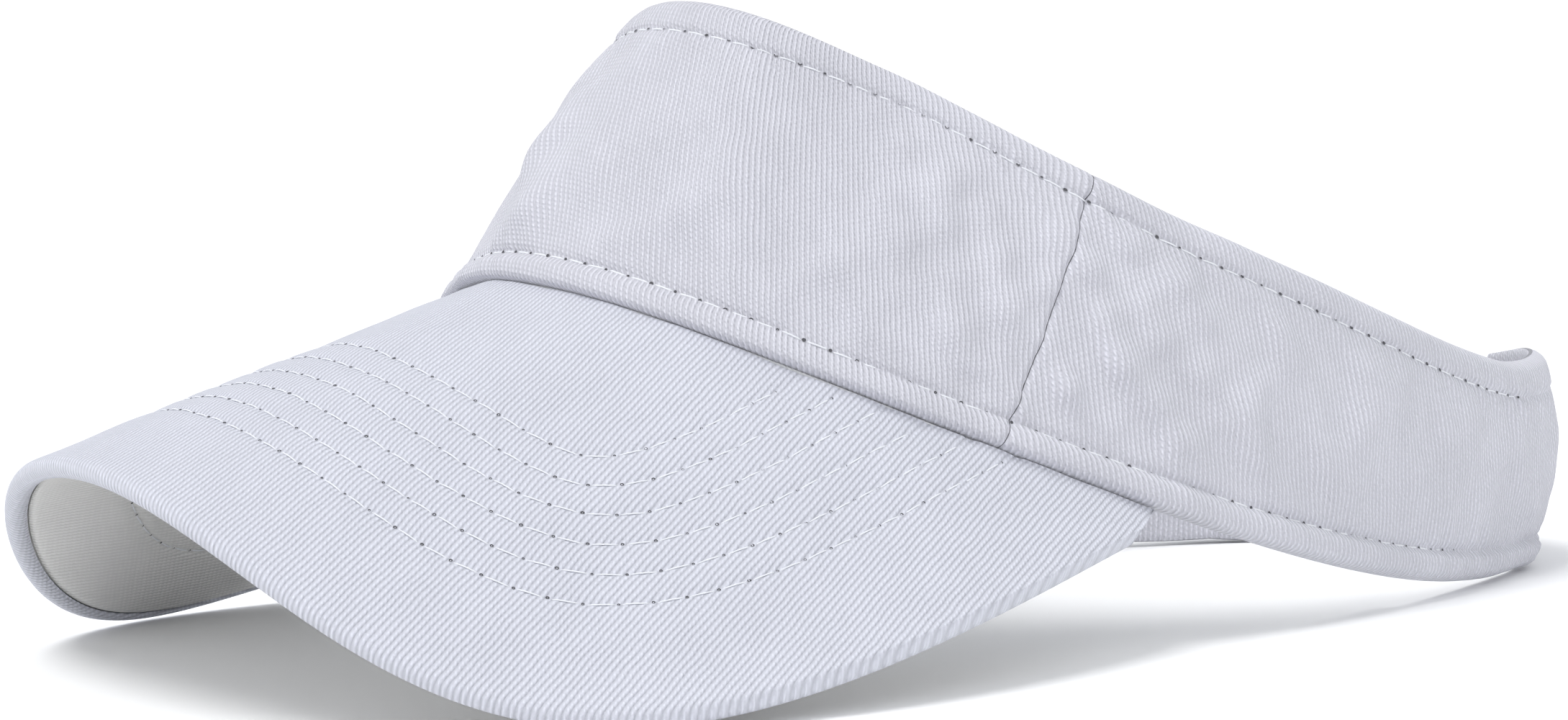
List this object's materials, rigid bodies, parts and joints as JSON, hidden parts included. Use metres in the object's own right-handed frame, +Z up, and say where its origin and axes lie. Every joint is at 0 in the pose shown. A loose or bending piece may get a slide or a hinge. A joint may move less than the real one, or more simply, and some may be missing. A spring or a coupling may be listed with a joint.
{
  "type": "sun visor",
  "caption": "White cotton twill sun visor: open-top head band with side seams, curved stitched bill, turned hems and a hook-and-loop strap at the rear.",
  "frame": {"origin": "centre of the bounding box's foot, on the table the visor rests on", "axes": "+Z up, +X to the wearer's left, -Y forward along the bill"},
  "size_m": [0.1792, 0.2884, 0.1017],
  "materials": {
    "white_twill": "matt twill weave",
    "cotton_lining": "plain weave, matt",
    "buckram": "stiff open weave",
    "bill_plastic": "smooth moulded sheet",
    "woven_tape": "ribbed tape",
    "label_satin": "satin, blank",
    "hook_nylon": "hook tape, slightly glossy",
    "loop_nylon": "loop tape, fuzzy",
    "white_thread": "twisted polyester thread"
  },
  "bodies": {
    "root": {"front_panel": "white_twill", "left_side_panel": "white_twill", "right_side_panel": "white_twill", "front_buckram": "buckram", "front_facing": "cotton_lining", "left_facing": "cotton_lining", "right_facing": "cotton_lining", "sweatband": "cotton_lining", "bill_seam_tape": "woven_tape", "left_seam_tape": "woven_tape", "right_seam_tape": "woven_tape", "care_label": "label_satin", "bill_top_cover": "white_twill", "bill_board": "bill_plastic", "bill_under_cover": "white_twill", "closure_strap_root": "white_twill", "loop_patch": "loop_nylon", "bill_thread_1": "white_thread", "bill_thread_2": "white_thread", "bill_thread_3": "white_thread", "bill_thread_4": "white_thread", "bill_thread_5": "white_thread", "bill_thread_6": "white_thread", "top_hem_thread": "white_thread", "bottom_hem_thread": "white_thread"},
    "strap": {"closure_strap": "white_twill", "hook_patch": "hook_nylon"}
  },
  "joints": [
    {"name": "strap_peel", "type": "hinge", "parent": "root", "child": "strap", "pos_m": [0.01433, 0.14051, 0.02381], "axis": [0, -0.1564, -0.9877], "range_deg": [0, 100]}
  ]
}
